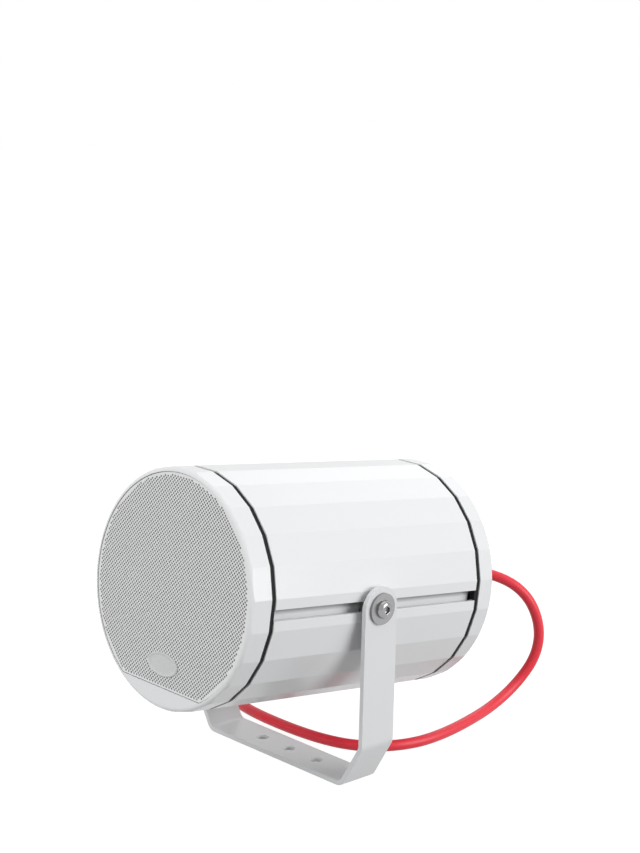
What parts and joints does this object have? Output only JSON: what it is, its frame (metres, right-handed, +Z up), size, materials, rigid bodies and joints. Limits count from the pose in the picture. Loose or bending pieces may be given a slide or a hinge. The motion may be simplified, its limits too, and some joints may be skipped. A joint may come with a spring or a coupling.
{
  "type": "sound projector loudspeaker",
  "caption": "Cylindrical sound-projector loudspeaker with a faceted housing, perforated front grille and red cable, held by T-slots in a tilting U-shaped bracket.",
  "frame": {"origin": "centre of the bracket base's middle hole, on the base's underside, which rests on the floor", "axes": "+X to the right seen from the front, the grille faces -Y, +Z up; the housing's axis lies in the YZ plane, tilted 7 degrees front up at rest"},
  "size_m": [0.2493, 0.2955, 0.1966],
  "materials": {
    "white_paint": "satin white powder coat",
    "bracket_paint": "satin white powder coat",
    "grille_paint": "matt white powder coat",
    "badge_plate": "plain, gloss",
    "black_rubber": "matt",
    "black_cloth": "matt",
    "pressed_steel": "zinc plated",
    "ferrite": "matt ceramic",
    "copper": "bare copper",
    "lamination": "varnished",
    "stainless": "stainless",
    "white_plastic": "ceramic",
    "black_plastic": "moulded",
    "red_sheath": "smooth sheath",
    "core_sheath": "smooth"
  },
  "bodies": {
    "bracket": {"bracket": "bracket_paint"},
    "pivot_set": {"pivot_screws": "stainless", "pivot_washers": "stainless", "spacer_washers": "stainless", "slot_nuts": "stainless"},
    "speaker": {"body_shell": "white_paint", "front_ring": "white_paint", "rear_cap": "white_paint", "grille": "grille_paint", "badge_blank": "badge_plate", "front_gasket": "black_rubber", "rear_gasket": "black_rubber", "driver_surround": "black_rubber", "gland_seal": "black_rubber", "grille_cloth": "black_cloth", "driver_cone": "black_cloth", "dust_cap": "black_cloth", "driver_spider": "black_cloth", "driver_basket": "pressed_steel", "magnet_top_plate": "pressed_steel", "magnet_yoke": "pressed_steel", "mounting_plate": "pressed_steel", "magnet_ring": "ferrite", "transformer_winding": "copper", "voice_coil": "copper", "cable_tails": "copper", "transformer_core": "lamination", "driver_screws": "stainless", "front_ring_screws": "stainless", "rear_cap_screws": "stainless", "plate_screws": "stainless", "thermal_fuse": "stainless", "terminal_block": "white_plastic", "gland_body": "black_plastic", "gland_dome_nut": "black_plastic", "gland_lock_nut": "black_plastic", "signal_cable": "red_sheath", "cable_cores": "core_sheath"}
  },
  "joints": [
    {"name": "tilt", "type": "hinge", "parent": "bracket", "child": "pivot_set", "pos_m": [0, 0, 0.114], "axis": [1, 0, 0], "range_deg": [-23, 37], "deforming": ["signal_cable", "cable_tails"]},
    {"name": "slot_slide", "type": "slide", "parent": "pivot_set", "child": "speaker", "axis": [0, 0.9925, -0.1219], "range_m": [-0.065, 0.065], "deforming": ["signal_cable", "cable_tails"]}
  ]
}
